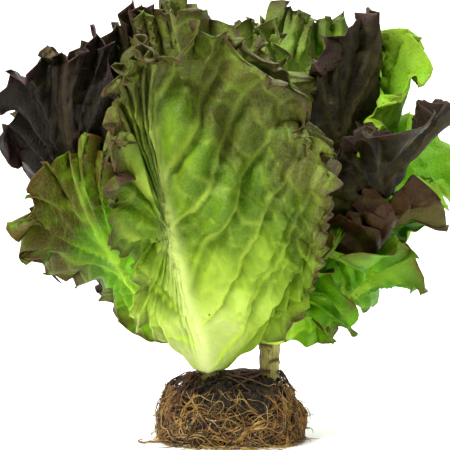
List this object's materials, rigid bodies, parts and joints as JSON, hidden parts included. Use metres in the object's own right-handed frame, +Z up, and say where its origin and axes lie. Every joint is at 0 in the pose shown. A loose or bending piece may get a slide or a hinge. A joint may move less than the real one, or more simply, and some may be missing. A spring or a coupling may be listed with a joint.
{
  "type": "head of lettuce",
  "caption": "Red loose-leaf lettuce: ruffled green to maroon leaves cupped around short stems that stand in one root ball of peat.",
  "frame": {"origin": "centre of the flat underside of the root ball, on the surface it stands on", "axes": "+Z up, the front of the head faces -Y, +X to the right of the front view"},
  "size_m": [0.2385, 0.1815, 0.2418],
  "materials": {
    "peat": "rough matt peat and fine roots; stone stands in for soil",
    "roots": "matt tan root",
    "stems": "matt olive stalk with brown leaf scars",
    "tinged_leaves": "waxy satin green with a purple tinge",
    "green_leaves": "waxy satin bright green, brown at the ruffled edge",
    "red_leaves": "waxy satin dark maroon",
    "heart_leaves": "waxy satin light green"
  },
  "bodies": {
    "root": {"back_leaf": "green_leaves", "back_left_leaf": "red_leaves", "back_middle_leaf": "tinged_leaves", "front_leaf": "tinged_leaves", "front_left_leaf": "green_leaves", "ground_root_1": "roots", "ground_root_2": "roots", "ground_root_3": "roots", "ground_root_4": "roots", "high_left_leaf": "red_leaves", "high_right_leaf": "red_leaves", "inner_back_leaf": "tinged_leaves", "inner_front_leaf": "tinged_leaves", "inner_left_leaf": "red_leaves", "inner_right_leaf": "green_leaves", "left_heart_leaf_1": "heart_leaves", "left_heart_leaf_2": "heart_leaves", "left_heart_leaf_3": "heart_leaves", "left_inside_leaf_1": "heart_leaves", "left_inside_leaf_2": "heart_leaves", "left_stem": "stems", "low_left_leaf": "red_leaves", "low_middle_leaf": "green_leaves", "low_right_leaf": "green_leaves", "middle_leaf": "red_leaves", "right_back_leaf": "green_leaves", "right_heart_leaf_1": "heart_leaves", "right_heart_leaf_2": "heart_leaves", "right_inside_leaf_1": "red_leaves", "right_inside_leaf_2": "heart_leaves", "right_leaf": "red_leaves", "right_stem": "stems", "root_back_1": "roots", "root_back_2": "roots", "root_ball": "peat", "root_front_1": "roots", "root_front_2": "roots", "root_front_3": "roots", "root_front_4": "roots", "root_left": "roots", "root_right": "roots", "second_back_leaf": "heart_leaves", "second_front_leaf": "red_leaves", "third_front_leaf": "heart_leaves"}
  },
  "joints": []
}
